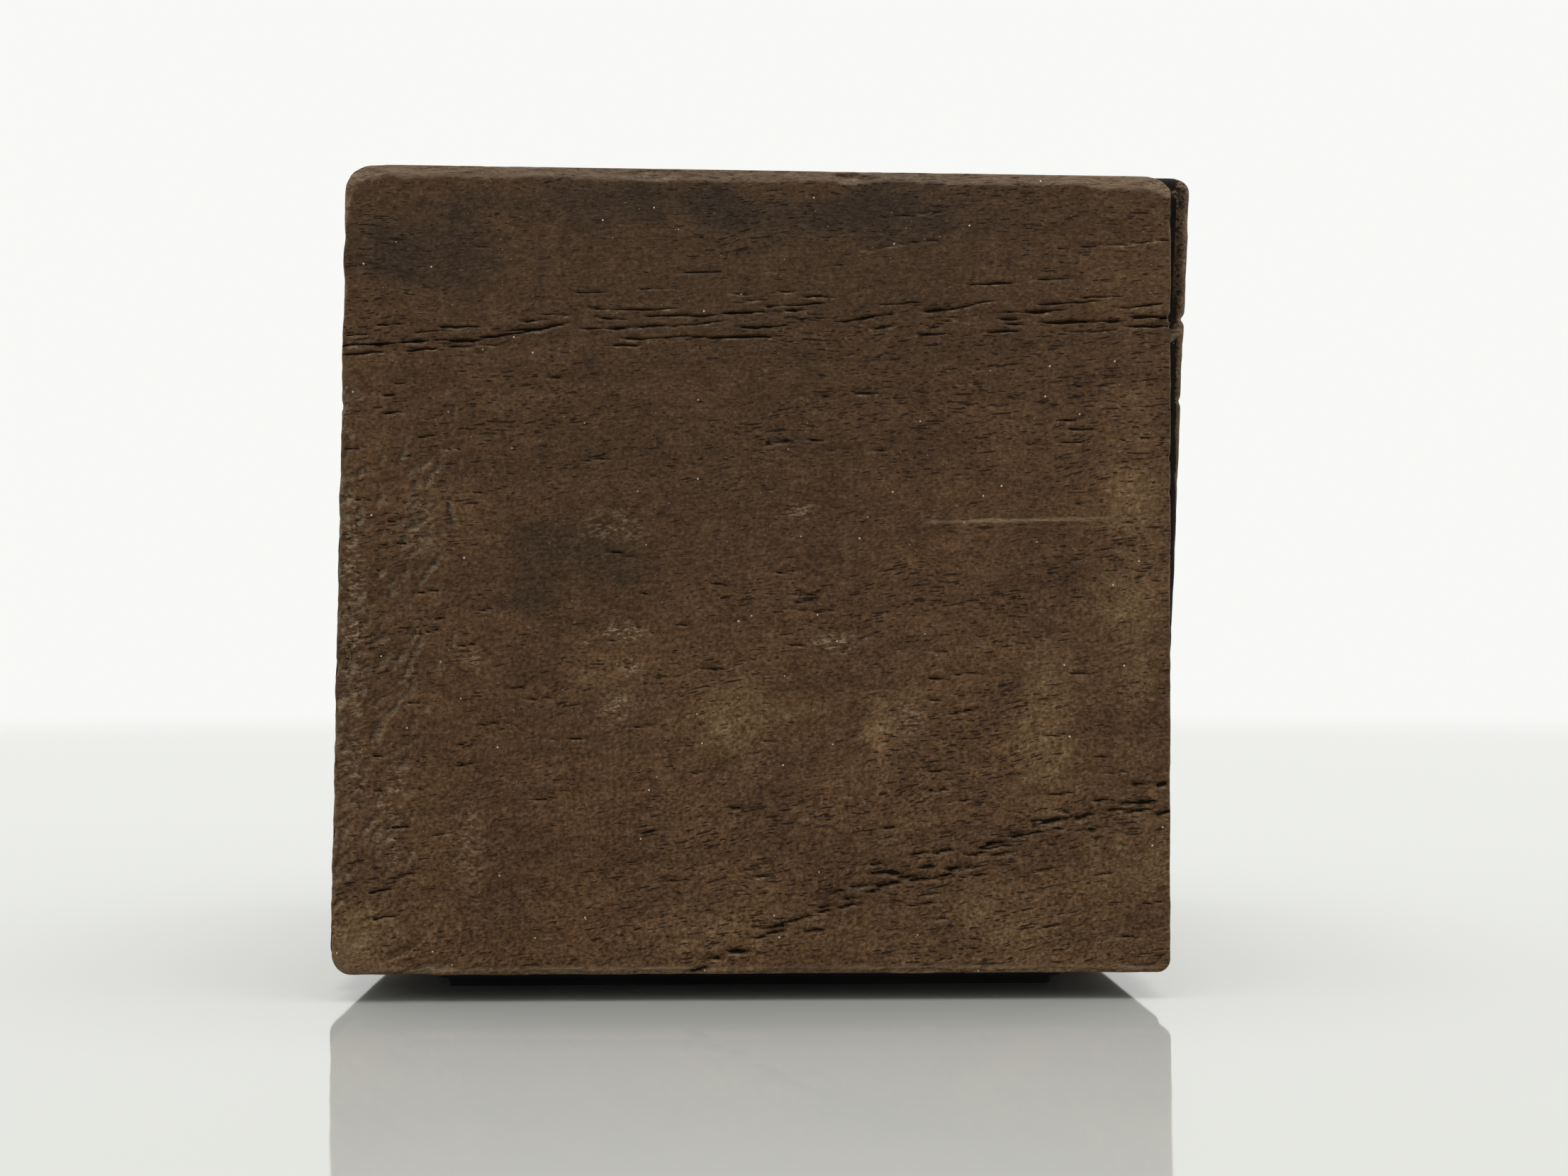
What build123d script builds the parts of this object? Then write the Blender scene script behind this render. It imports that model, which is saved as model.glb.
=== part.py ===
from build123d import *
import os
from math import sqrt

# Wood-mounted rubber stamp: a block of two glued boards over a moulded rubber die.
# Millimetres, +Z up, front board towards -Y. The origin is at the middle of the
# footprint, on the surface that the print face rests on.

# ---- Mount: front board ----
front_width = 59.8            # across the front face
front_height = 57.9           # at its left side
front_thickness = 5.0
left_lean = 0.65              # the left side leans this far right from bottom to top
right_lean = 0.45             # and the right side a little less
top_fall = 0.5                # the top edge drops this much from left to right
front_top_left_radius = 2.0
front_top_right_radius = 0.7
front_bottom_right_radius = 1.0
front_bottom_left_radius = 1.4
front_arris = 0.45            # worn round edge of the front face

# ---- Mount: back block, a little larger than the front board ----
mount_depth = 60.0            # front face to back face
right_step_bottom = 0.45      # how far the block stands out past the front board
right_step_top = 2.8
left_step_bottom = 1.2
left_step_top = 0.8
top_step = 1.25
back_top_left_radius = 2.0
back_top_right_radius = 1.4
back_bottom_right_radius = 1.0
back_bottom_left_radius = 1.4
back_front_arris = 0.6        # round edge beside the seam
back_rear_arris = 0.9         # round edge of the back face

# ---- Glue between the two boards ----
seam_glue_thickness = 0.2
seam_glue_inset = 0.5         # held back from the front board's edges
seam_squeeze_out = 1.3        # bead on the right-hand ledge stops this far from its edge

# ---- Rubber die and its cement ----
die_width = 46.8
die_length = 46.8             # front to back
die_corner_radius = 1.5
die_sheet = 1.1               # backing web of the die
relief_height = 0.7
relief_draft = 12.0           # degrees, so the raised lines are wider at their roots
cement_thickness = 0.1
cement_inset = 0.6

# ---- Raised picture: a double border, a flower and a leaf spray in each corner ----
border_margin = 0.9           # die edge to outer line
outer_line = 1.1
line_gap = 1.2
inner_line = 0.5
picture_clearance = 1.3       # inner line to flower, and round each leaf spray
heart_radius = 2.6
heart_gap = 1.0
petals = 8
petal_width = 5.6
vein_width = 0.45
leaf_width = 2.6
side_leaf_share = 0.75        # length of the two side leaves against the middle one
side_leaf_angle = 34.0

# ---- Derived places ----
block_bottom = relief_height + die_sheet + cement_thickness
overall_width = left_step_bottom + front_width + right_lean + right_step_top
front_left = left_step_bottom - overall_width / 2
front_plane = mount_depth / 2               # distance of the front face towards -Y
seam_plane = front_plane - front_thickness  # back of the front board
block_plane = seam_plane - seam_glue_thickness
die_centre_x = front_left + front_width / 2


def side_corners(left, right, top, inset=0.0):
    """Corners of a board seen from the front, stepped out by (bottom, top) pairs at each side."""
    return [
        (front_left - left[0] + inset, block_bottom + inset),
        (front_left + front_width + right[0] - inset, block_bottom + inset),
        (front_left + front_width + right_lean + right[1] - inset,
         block_bottom + front_height - top_fall + top - inset),
        (front_left + left_lean - left[1] + inset, block_bottom + front_height + top - inset),
    ]


def draw_board(board, corners, radii):
    """Draw a four-cornered board outline in an open sketch, with its own radius at each corner."""
    Polygon(*corners, align=None)
    for corner, radius in zip(corners, radii):
        fillet(board.vertices().sort_by_distance((*corner, 0))[0], radius)


# ---- Front board: the face that carries the long grain ----
front_corners = side_corners((0, 0), (0, 0), 0)
with BuildPart() as front_board:
    with BuildSketch(Plane.XZ.offset(seam_plane)) as front_outline:
        draw_board(front_outline, front_corners, (
            front_bottom_left_radius, front_bottom_right_radius,
            front_top_right_radius, front_top_left_radius))
    extrude(amount=front_thickness)
    fillet(front_board.faces().sort_by(Axis.Y)[0].edges(), front_arris)

# ---- Back block: the body of the mount ----
back_corners = side_corners(
    (left_step_bottom, left_step_top), (right_step_bottom, right_step_top), top_step)
with BuildPart() as back_block:
    with BuildSketch(Plane.XZ.offset(-mount_depth / 2)) as back_outline:
        draw_board(back_outline, back_corners, (
            back_bottom_left_radius, back_bottom_right_radius,
            back_top_right_radius, back_top_left_radius))
    extrude(amount=mount_depth / 2 + block_plane)
    fillet(back_block.faces().sort_by(Axis.Y)[0].edges(), back_front_arris)
    fillet(back_block.faces().sort_by(Axis.Y)[-1].edges(), back_rear_arris)

# ---- Seam glue: dark film, with a bead squeezed out on the right-hand ledge ----
glue_corners = side_corners((0, 0), (0, 0), 0, seam_glue_inset)
glue_reach = seam_glue_inset - seam_squeeze_out
glue_corners[1] = (glue_corners[1][0] + right_step_bottom + glue_reach, glue_corners[1][1])
glue_corners[2] = (glue_corners[2][0] + right_step_top + glue_reach, glue_corners[2][1])
with BuildPart() as seam_glue:
    with BuildSketch(Plane.XZ.offset(block_plane)):
        Polygon(*glue_corners, align=None)
    extrude(amount=seam_glue_thickness)

# ---- Die cement: thin film that holds the rubber to the wood ----
with BuildPart() as die_cement:
    with BuildSketch(Plane.XY.offset(relief_height + die_sheet)):
        with Locations((die_centre_x, 0)):
            RectangleRounded(die_width - 2 * cement_inset, die_length - 2 * cement_inset,
                             die_corner_radius)
    extrude(amount=cement_thickness)

# ---- Rubber die: flat web with the picture raised on its underside ----
inner_margin = border_margin + outer_line + line_gap
picture_margin = inner_margin + inner_line
flower_radius = min(die_width, die_length) / 2 - picture_margin - picture_clearance
petal_start = heart_radius + heart_gap
petal_length = flower_radius - petal_start
spray_start = flower_radius + picture_clearance / 2
corner_x = die_width / 2 - picture_margin
corner_y = die_length / 2 - picture_margin
leaf_length = sqrt(2) * min(corner_x, corner_y) - spray_start - picture_clearance


def leaf_sketch(length, width):
    """Pointed leaf along +X from the origin, split by its vein."""
    with BuildSketch(mode=Mode.PRIVATE) as leaf:
        with BuildLine():
            ThreePointArc((0, 0), (length / 2, width / 2), (length, 0))
            ThreePointArc((length, 0), (length / 2, -width / 2), (0, 0))
        make_face()
        with Locations((length / 2, 0)):
            Rectangle(length * 0.62, vein_width, mode=Mode.SUBTRACT)
    return leaf.sketch


def border_line(margin, width):
    """Rounded rectangular line, measured in from the die's edge."""
    for inset, mode in ((margin, Mode.ADD), (margin + width, Mode.SUBTRACT)):
        RectangleRounded(die_width - 2 * inset, die_length - 2 * inset,
                         max(die_corner_radius - inset, 0.3), mode=mode)


with BuildSketch() as picture:
    border_line(border_margin, outer_line)
    with BuildSketch(mode=Mode.PRIVATE) as inner:
        border_line(inner_margin, inner_line)
    add(inner.sketch)
    Circle(heart_radius)
    with PolarLocations(petal_start, petals):
        add(leaf_sketch(petal_length, petal_width))
    for quarter in range(4):
        heading = 45 + 90 * quarter
        with Locations(Location((0, 0, 0), (0, 0, heading)) * Location((spray_start, 0, 0))):
            add(leaf_sketch(leaf_length, leaf_width))
            for side in (-side_leaf_angle, side_leaf_angle):
                add(leaf_sketch(leaf_length * side_leaf_share, leaf_width), rotation=side)

with BuildPart() as rubber_die:
    with BuildSketch(Plane.XY.offset(relief_height)):
        with Locations((die_centre_x, 0)):
            RectangleRounded(die_width, die_length, die_corner_radius)
    extrude(amount=die_sheet)
    with BuildSketch(Plane.XY):
        with Locations((die_centre_x, 0)):
            add(picture.sketch)
    extrude(amount=relief_height, taper=-relief_draft)

# ---- Output: one file for each piece ----
os.makedirs("parts", exist_ok=True)
pieces = {
    "front_board": front_board,
    "back_block": back_block,
    "seam_glue": seam_glue,
    "die_cement": die_cement,
    "rubber_die": rubber_die,
}
for piece_name, piece in pieces.items():
    piece.part.label = piece_name
    export_step(piece.part, f"parts/{piece_name}.step")
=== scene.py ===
"""Visual model of a wood-mounted rubber stamp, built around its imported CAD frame."""

import logging
import math
from collections.abc import Iterator
from dataclasses import dataclass, field
from enum import Enum
from functools import partial

import bmesh
import bpy
import numpy as np
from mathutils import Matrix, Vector


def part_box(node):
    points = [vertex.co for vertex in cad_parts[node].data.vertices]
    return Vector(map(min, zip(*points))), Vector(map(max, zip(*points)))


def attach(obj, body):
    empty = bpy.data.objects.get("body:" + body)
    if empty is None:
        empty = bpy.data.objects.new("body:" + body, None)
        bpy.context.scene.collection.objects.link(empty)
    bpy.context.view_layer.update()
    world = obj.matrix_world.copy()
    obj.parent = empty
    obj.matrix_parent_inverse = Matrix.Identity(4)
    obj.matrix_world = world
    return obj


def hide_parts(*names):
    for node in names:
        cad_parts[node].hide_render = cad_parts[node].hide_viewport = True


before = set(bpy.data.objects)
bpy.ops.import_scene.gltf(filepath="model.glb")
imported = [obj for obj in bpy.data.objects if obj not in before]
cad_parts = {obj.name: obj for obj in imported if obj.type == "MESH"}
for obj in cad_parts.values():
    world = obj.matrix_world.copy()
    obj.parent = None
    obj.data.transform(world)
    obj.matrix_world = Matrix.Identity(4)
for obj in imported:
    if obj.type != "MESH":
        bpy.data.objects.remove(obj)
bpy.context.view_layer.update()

MM = 0.001
BODY = "root"
FINE_STEPS = 8000                # steps along a length, from which its cuts are chosen
FRONT_BOARD_LEAN = 0.45          # mm by which the front board's right side leans out at the top
TOP_FALL = 0.5                   # mm by which the top of each board drops from left to right

logging.basicConfig(level=logging.INFO, format="%(levelname)s %(message)s")
log = logging.getLogger("rubber_stamp")


# --------------------------------------------------------------------------------------
# Small tools
# --------------------------------------------------------------------------------------


def linear(hex_colour: str) -> tuple[float, float, float, float]:
    """Turn an sRGB hex colour into linear RGBA.

    Args:
        hex_colour: six hex digits, such as "46362a".

    Returns:
        Linear red, green, blue and an alpha of 1.
    """
    channels = [int(hex_colour[i:i + 2], 16) / 255 for i in (0, 2, 4)]
    red, green, blue = (
        c / 12.92 if c <= 0.04045 else ((c + 0.055) / 1.055) ** 2.4 for c in channels)
    return red, green, blue, 1.0


def add_node(tree: bpy.types.NodeTree, kind: str, inputs: dict | tuple = (),
             **settings: object) -> bpy.types.Node:
    """Add one shader node with its settings and links.

    Args:
        tree: the node tree that gets the node.
        kind: the node's Blender type name.
        inputs: what each socket gets, by the socket's name or number, or in a tuple for the
            first sockets in order. A socket gets a constant, an output socket that feeds it,
            or a node, whose first output feeds it.
        settings: attributes of the node itself.

    Returns:
        The new node.
    """
    node = tree.nodes.new(kind)
    for key, value in settings.items():
        setattr(node, key, value)
    for key, value in (inputs.items() if isinstance(inputs, dict) else enumerate(inputs)):
        if isinstance(value, bpy.types.Node):
            value = value.outputs[0]
        if isinstance(value, bpy.types.NodeSocket):
            tree.links.new(value, node.inputs[key])
        else:
            node.inputs[key].default_value = value
    return node


def blank_material(name: str) -> bpy.types.Material:
    """Start a material with an empty node tree."""
    material = bpy.data.materials.new(name)
    material.use_nodes = True
    material.node_tree.nodes.clear()
    return material


def add_object(name: str, data: bpy.types.ID) -> bpy.types.Object:
    """Put a mesh, a light or a camera into the scene."""
    thing = bpy.data.objects.new(name, data)
    bpy.context.scene.collection.objects.link(thing)
    return thing


def smooth(low: float, high: float, value: np.ndarray) -> np.ndarray:
    """Ease from 0 at low to 1 at high."""
    t = np.clip((value - low) / (high - low), 0, 1)
    return t * t * (3 - 2 * t)


def stations(count: int, length: float, crowded: tuple[tuple[float, float, float], ...]
             ) -> np.ndarray:
    """Place cuts along a length, closer together where detail is wanted.

    Args:
        count: number of spaces between cuts.
        length: the length to cut up, mm.
        crowded: centre in mm, reach in mm and gain of each crowded stretch.

    Returns:
        The count + 1 places, from 0 to length.
    """
    fine = np.linspace(0, length, FINE_STEPS + 1)
    density = 1 + sum(gain * np.exp(-((fine - centre) / reach) ** 4)
                      for centre, reach, gain in crowded)
    passed = np.concatenate(([0.0], np.cumsum((density[1:] + density[:-1]) / 2)))
    return np.interp(np.linspace(0, passed[-1], count + 1), passed, fine)


class LatticeNoise:
    """Smooth value noise on a seeded lattice, so that every run wears the wood alike."""

    SIZE = 4096

    def __init__(self, seed: int) -> None:
        """Fill the lattice from one seed."""
        rng = np.random.default_rng(seed)
        self.values = rng.uniform(-1, 1, self.SIZE)
        self.order = rng.permutation(self.SIZE)

    def __call__(self, *coords: np.ndarray) -> np.ndarray:
        """Sample the noise.

        Args:
            coords: one to three arrays of lattice coordinates, one unit per lattice cell.

        Returns:
            Values from -1 to 1.
        """
        cells = [np.floor(c).astype(int) for c in coords]
        shares = [(c - cell) ** 2 * (3 - 2 * (c - cell)) for c, cell in zip(coords, cells)]
        total = np.zeros(np.broadcast(*coords).shape if len(coords) > 1 else coords[0].shape)
        for corner in range(2 ** len(coords)):
            weight, key = 1.0, 0
            for axis, (cell, share) in enumerate(zip(cells, shares)):
                step = corner >> axis & 1
                weight = weight * (share if step else 1 - share)
                key = self.order[(cell + step + key) % self.SIZE]
            total = total + weight * self.values[key]
        return total

    def rough(self, *coords: np.ndarray, octaves: int = 3) -> np.ndarray:
        """Add up octaves of the noise, each twice as fine and half as strong."""
        return sum(self(*(c * 2 ** k for c in coords)) / 2 ** k for k in range(octaves))


# --------------------------------------------------------------------------------------
# Finishes
# --------------------------------------------------------------------------------------


class Trace(str, Enum):
    """What use has left on the wood, with some painted highlight and shade, held as a point
    attribute of the mesh.
    """

    WEAR_AND_HIGHLIGHT = "wear_and_highlight"        # rubbed pale along the edges, and painted highlight on dent walls and the block's front edge
    DIRT_AND_SHADE = "dirt_and_shade"      # dirt packed dark in cracks and pores, and painted shade in the corners beside the front board
    TONE = "tone"        # stained darker below 0, with painted shade on dent walls; faded warmer above 0
    SCUFF_AND_HIGHLIGHT = "scuff_and_highlight"      # lifted pale fibres, and painted highlight on dent walls


@dataclass(frozen=True)
class AgedHardwood:
    """Ring-porous hardwood, planed, handled bare for decades and never sealed.

    Hand oils and ink have turned it a deep brown with a dull satin gloss; its open pores
    show as short near-black dashes along the grain, and as dots on the end grain.
    """

    name: str
    foot_slope: float = 0.17         # how steeply the grain climbs towards +X at the foot
    slope_loss: float = 0.0021       # and how much less steeply with each mm up
    ring_width: float = 3.1          # mm
    ring_depth: float = 0.05
    shade: str = "402c1b"
    light: str = "4e3721"
    faded: str = "644d34"
    # the next colour is also used for painted shade on the near walls of dents
    stained_and_shaded: str = "2d2015"
    pore: str = "170e08"
    # the next colour is also used for painted highlight on dent walls and the block's front edge
    worn_and_highlight: str = "6f5d47"
    # the next colour is also used for painted highlight on dent walls
    fibre_and_highlight: str = "8c7a60"
    # the next colour is used for dirt in cracks and for painted shade beside the front board
    dirt_and_shade_paint: str = "0d0906"
    dust: str = "b5ad9c"
    roughness: float = 0.55
    seed: float = 0.0

    def build(self) -> bpy.types.Material:
        """Make the wood material.

        Returns:
            A material on Object coordinates, with the traces of use, painted highlight and painted
            shade read as attributes.
        """
        material = blank_material(self.name)
        WoodShading(material.node_tree, self).build()
        return material


class WoodShading:
    """The nodes of an aged hardwood, laid down from the clean wood to the dust on it."""

    EASED = {"interpolation_type": "SMOOTHSTEP"}
    GREYING = (0.88, 1.05, 1.35)     # a lighter spot is greyer too: it gains the most blue
    PORES = ((4.6, 0.5, 0.18), (2.4, 0.3, 0.24), (1.0, 0.24, 0.26))  # length, width, share open
    DUST = ((0.6, 0.05, 0.95), (1.3, 0.055, 0.45))   # cells per mm, size in a cell, strength
    PITH = (0.0, 25.0, 70.0)         # mm from the pith to the origin: far, so rings are flat arcs
    SWAY = (0.0, 1.4, 1.4)           # mm that the grain sways by in all, into and up the board

    def __init__(self, tree: bpy.types.NodeTree, wood: AgedHardwood) -> None:
        """Lay out the coordinates, the traces of use and painted light, and the noises that the
        steps share.

        Args:
            tree: the material's empty node tree.
            wood: the wood to show.
        """
        self.wood = wood
        self.add = partial(add_node, tree)
        self.place = self.add("ShaderNodeTexCoord").outputs["Object"]
        scaled = self.add("ShaderNodeMapping", {
            "Vector": self.place, "Location": (wood.seed, wood.seed, 0.0),
            "Scale": (1 / MM, 1 / MM, 1 / MM)})
        along, deep, self.up = self.add("ShaderNodeSeparateXYZ", (scaled,)).outputs
        slope = self.add("ShaderNodeMath", (self.up, -wood.slope_loss, wood.foot_slope),
                         operation="MULTIPLY_ADD")
        climb = self.add("ShaderNodeMath", (along, slope), operation="MULTIPLY")
        level = self.add("ShaderNodeMath", (self.up, climb), operation="SUBTRACT")
        straight = self.add("ShaderNodeCombineXYZ", (along, deep, level))
        sway = self.add("ShaderNodeTexNoise", {"Vector": straight, "Scale": 0.16, "Detail": 1.0})
        bend = self.add("ShaderNodeVectorMath", (sway.outputs["Color"], (0.5, 0.5, 0.5)),
                        operation="SUBTRACT")
        self.grain = self.add("ShaderNodeVectorMath", (bend, self.SWAY, straight),
                              operation="MULTIPLY_ADD")
        self.traces = {
            trace: self.add("ShaderNodeAttribute", attribute_name=trace.value).outputs["Fac"]
            for trace in Trace}
        self.mottle = self.clouds((6.0, 4.5, 4.5), 6.0, 0.65)
        self.streaks = self.clouds((3.6, 0.13, 0.13), 4.0, 0.65)
        self.speckle = self.clouds((0.34, 0.26, 0.26), 3.0, 0.7)
        self.blots = self.clouds((1.3, 0.7, 0.7), 3.0, 0.65)
        self.grit = self.clouds((0.26, 0.22, 0.22), 2.0, 0.5)

    def clouds(self, lengths: tuple[float, float, float], detail: float,
               roughness: float = 0.55) -> bpy.types.Node:
        """Fractal noise from 0 to 1 that follows the grain.

        Args:
            lengths: size of its features along the grain, into the board and up it, in mm.
            detail: number of finer octaves.
            roughness: strength of the finer octaves.

        Returns:
            The noise.
        """
        drawn_out = self.add("ShaderNodeMapping", {
            "Vector": self.grain, "Scale": tuple(1 / length for length in lengths)})
        return self.add("ShaderNodeTexNoise", {
            "Vector": drawn_out, "Scale": 1.0, "Detail": detail, "Roughness": roughness})

    def tinted(self, colour: object, *swings: tuple[object, object]) -> bpy.types.Node:
        """Lighten and darken a colour around the middle of some noises.

        Args:
            colour: the colour so far.
            swings: each noise from 0 to 1, and how strongly it tints.

        Returns:
            The new colour.
        """
        for value, depth in swings:
            middle = self.add("ShaderNodeMath", (value, 0.5), operation="SUBTRACT")
            swing = self.add("ShaderNodeMath", (middle, depth), operation="MULTIPLY")
            gain = self.add("ShaderNodeVectorMath", (swing, self.GREYING, (1.0, 1.0, 1.0)),
                            operation="MULTIPLY_ADD")
            colour = self.add("ShaderNodeVectorMath", (colour, gain), operation="MULTIPLY")
        return colour

    def painted(self, colour: object, *layers: tuple[object, str]) -> bpy.types.NodeSocket:
        """Lay other colours over a colour.

        Args:
            colour: the colour so far.
            layers: how much of each layer shows, from 0 to 1, and its sRGB hex colour.

        Returns:
            The new colour.
        """
        for share, shade in layers:
            colour = self.add("ShaderNodeMix", {0: share, 6: colour, 7: linear(shade)},
                              data_type="RGBA").outputs[2]
        return colour

    def clean_wood(self) -> bpy.types.NodeSocket:
        """Colour the wood itself: slow mottling, growth bands and rings, fading and stains.

        Returns:
            The colour.
        """
        wood, add = self.wood, self.add
        bands = self.clouds((60.0, 2.2, 2.2), 2.0)
        body = add("ShaderNodeMix", {0: 0.2, 2: self.mottle, 3: bands})
        body = add("ShaderNodeMapRange", (body, 0.34, 0.66), **self.EASED)
        colour = self.painted(linear(wood.shade), (body, wood.light))
        from_pith = add("ShaderNodeMapping", {
            "Vector": self.grain, "Location": self.PITH, "Scale": (0.0, 1.0, 1.0)})
        radius = add("ShaderNodeVectorMath", (from_pith,), operation="LENGTH").outputs["Value"]
        uneven = self.clouds((70.0, 17.0, 17.0), 0.0)
        for noise, reach in ((uneven, 2.2 * wood.ring_width), (self.mottle, 1.1)):
            radius = add("ShaderNodeMath", (noise, reach, radius), operation="MULTIPLY_ADD")
        rings = add("ShaderNodeMath", (radius, wood.ring_width), operation="DIVIDE")
        ring = add("ShaderNodeMath", (rings,), operation="FRACT")
        rise = add("ShaderNodeMapRange", (ring, 0.0, 0.07), **self.EASED)
        fall = add("ShaderNodeMapRange", (ring, 0.62, 0.07), **self.EASED)
        early = add("ShaderNodeMath", (rise, fall), operation="MULTIPLY")
        late = add("ShaderNodeMath", (0.75, early), operation="SUBTRACT")
        colour = self.tinted(colour, (late, 2 * wood.ring_depth))
        ragged = add("ShaderNodeMath", (self.mottle, 1.6, 0.2), operation="MULTIPLY_ADD")
        tone = add("ShaderNodeMath", (self.traces[Trace.TONE], ragged), operation="MULTIPLY")
        # Faded above 0; stained below 0, where the tone also holds painted shade on dent walls
        for full, shade in ((1.1, wood.faded), (-1.1, wood.stained_and_shaded)):
            share = add("ShaderNodeMapRange", (tone, 0.0, full), **self.EASED)
            colour = self.painted(colour, (share, shade))
        return colour

    def pores(self) -> bpy.types.Node:
        """Open the pores: dashes of three sizes, crowded in some growth bands, few in others.

        Returns:
            1 in a pore and 0 beside it.
        """
        crowd = self.clouds((14.0, 4.0, 4.0), 3.0)
        edge = self.add("ShaderNodeMath", (self.speckle, 0.7, -0.35), operation="MULTIPLY_ADD")
        pore = 0.0
        for length, width, reach in self.PORES:
            drawn_out = self.add("ShaderNodeMapping", {
                "Vector": self.grain, "Scale": (1 / length, 1 / width, 1 / width)})
            cell = self.add("ShaderNodeTexVoronoi", {"Vector": drawn_out, "Scale": 1.0})
            limit = self.add("ShaderNodeMapRange", (crowd, 0.38, 0.62, reach / 2, reach),
                             **self.EASED)
            out = self.add("ShaderNodeMath", (cell, limit), operation="DIVIDE")
            out = self.add("ShaderNodeMath", (out, edge), operation="ADD")
            dash = self.add("ShaderNodeMapRange", (out, 1.0, 0.78), **self.EASED)
            pore = self.add("ShaderNodeMath", (pore, dash), operation="MAXIMUM")
        return pore

    def build(self) -> None:
        """Lay down the wood, its grain and pores, and what use has left on it, with painted
        highlight and shade.
        """
        wood, add, traces = self.wood, self.add, self.traces

        # Fibre streaks, upright rubbing marks, grit that shows more near the foot, and speckle
        rubs = self.clouds((0.16, 3.0, 2.2), 3.0, 0.6)
        gritty = add("ShaderNodeMath", (self.up, -0.026, 3.0), operation="MULTIPLY_ADD")
        colour = self.tinted(
            self.clean_wood(), (self.streaks, 0.9), (rubs, 0.35), (self.grit, gritty),
            (self.speckle, 1.9), (self.blots, 1.25))
        pore = self.pores()
        open_pore = add("ShaderNodeMath", (pore, 0.86), operation="MULTIPLY")

        # Rubbed edges, lifted fibres, dirt packed in cracks, and dust, with painted highlight on
        # dent walls and the block's front edge, and painted shade beside the front board
        patches = self.clouds((2.2, 0.24, 0.24), 5.0, 0.65)
        bare = add("ShaderNodeMapRange", (patches, 0.36, 0.6, 0.15, 1.0), **self.EASED)
        # The wear trace also holds painted highlight: the far walls of dents and the block's front
        # edge
        rub_and_highlight = add("ShaderNodeMath", (traces[Trace.WEAR_AND_HIGHLIGHT], bare), operation="MULTIPLY")
        fibres = self.clouds((0.6, 0.22, 0.22), 4.0, 0.75)
        flecks = add("ShaderNodeMapRange", (fibres, 0.5, 0.6), **self.EASED)
        # The scuff trace also holds painted highlight on the far walls of dents
        scuff_and_highlight_share = add("ShaderNodeMath", (traces[Trace.SCUFF_AND_HIGHLIGHT], 0.05), operation="ADD")
        fibre_and_highlight_share = add("ShaderNodeMath", (scuff_and_highlight_share, flecks), operation="MULTIPLY")
        # The dirt trace also holds painted shade on the ledge and top beside the front board
        frayed = add("ShaderNodeMath", (self.grit, 0.9, traces[Trace.DIRT_AND_SHADE]),
                     operation="MULTIPLY_ADD")
        dirt_and_shade_share = add("ShaderNodeMapRange", (frayed, 0.85, 1.11), **self.EASED)
        dirt_and_shade_paint = add("ShaderNodeMath", (dirt_and_shade_share, 0.94), operation="MULTIPLY")
        colour = self.painted(colour, (open_pore, wood.pore), (rub_and_highlight, wood.worn_and_highlight),
                              (fibre_and_highlight_share, wood.fibre_and_highlight), (dirt_and_shade_paint, wood.dirt_and_shade_paint))
        for crowding, size, strength in self.DUST:
            speck = add("ShaderNodeTexVoronoi", {"Vector": self.place, "Scale": crowding / MM})
            shown = add("ShaderNodeMapRange", (speck, size, 0.6 * size, 0.0, strength),
                        **self.EASED)
            colour = self.painted(colour, (shown, wood.dust))

        # Relief that is finer than the mesh: fibres and pores
        height = 0.0
        for value, rise in ((self.streaks, 0.6), (pore, -0.8), (self.blots, 0.9),
                            (self.grit, 0.7)):
            height = add("ShaderNodeMath", (value, rise, height), operation="MULTIPLY_ADD")
        relief = add("ShaderNodeBump", {
            "Strength": 0.8, "Distance": 0.09 * MM, "Height": height})
        dull = add("ShaderNodeMath", (pore, dirt_and_shade_share), operation="ADD")
        gloss = add("ShaderNodeMapRange", (dull, 0.0, 1.0, wood.roughness, 0.9), **self.EASED)
        shader = add("ShaderNodeBsdfPrincipled", {
            "Base Color": colour, "Roughness": gloss, "IOR": 1.45,
            "Specular IOR Level": 0.14, "Normal": relief})
        add("ShaderNodeOutputMaterial", {"Surface": shader})


@dataclass(frozen=True)
class PlainFinish:
    """A finish with one slow colour variation and a fine grain of its own."""

    name: str
    dark: str
    light: str
    roughness: float
    patch_mm: float                  # size of a patch
    grit_mm: float                   # size of the grains, and how deep they are
    grit_depth_mm: float
    specular: float = 0.4
    ior: float = 1.5

    def build(self) -> bpy.types.Material:
        """Make the material on Object coordinates.

        Returns:
            The new material.
        """
        material = blank_material(self.name)
        add = partial(add_node, material.node_tree)
        place = add("ShaderNodeTexCoord").outputs["Object"]
        patches = add("ShaderNodeTexNoise", {
            "Vector": place, "Scale": 1 / (self.patch_mm * MM), "Detail": 3.0})
        share = add("ShaderNodeMapRange", (patches, 0.35, 0.65))
        colour = add("ShaderNodeMix", {
            0: share, 6: linear(self.dark), 7: linear(self.light)}, data_type="RGBA").outputs[2]
        grit = add("ShaderNodeTexNoise", {
            "Vector": place, "Scale": 1 / (self.grit_mm * MM), "Detail": 4.0})
        relief = add("ShaderNodeBump", {
            "Strength": 0.5, "Distance": self.grit_depth_mm * MM, "Height": grit})
        shader = add("ShaderNodeBsdfPrincipled", {
            "Base Color": colour, "Roughness": self.roughness, "IOR": self.ior,
            "Specular IOR Level": self.specular, "Normal": relief})
        add("ShaderNodeOutputMaterial", {"Surface": shader})
        return material


# Vulcanised rubber, moulded: near-black and dull, greyed by old ink and dust
DIE_RUBBER = PlainFinish("vulcanised_rubber", "0f0f10", "1b1b1c", 0.65, 9.0, 0.35, 0.02,
                         specular=0.2)
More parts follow.
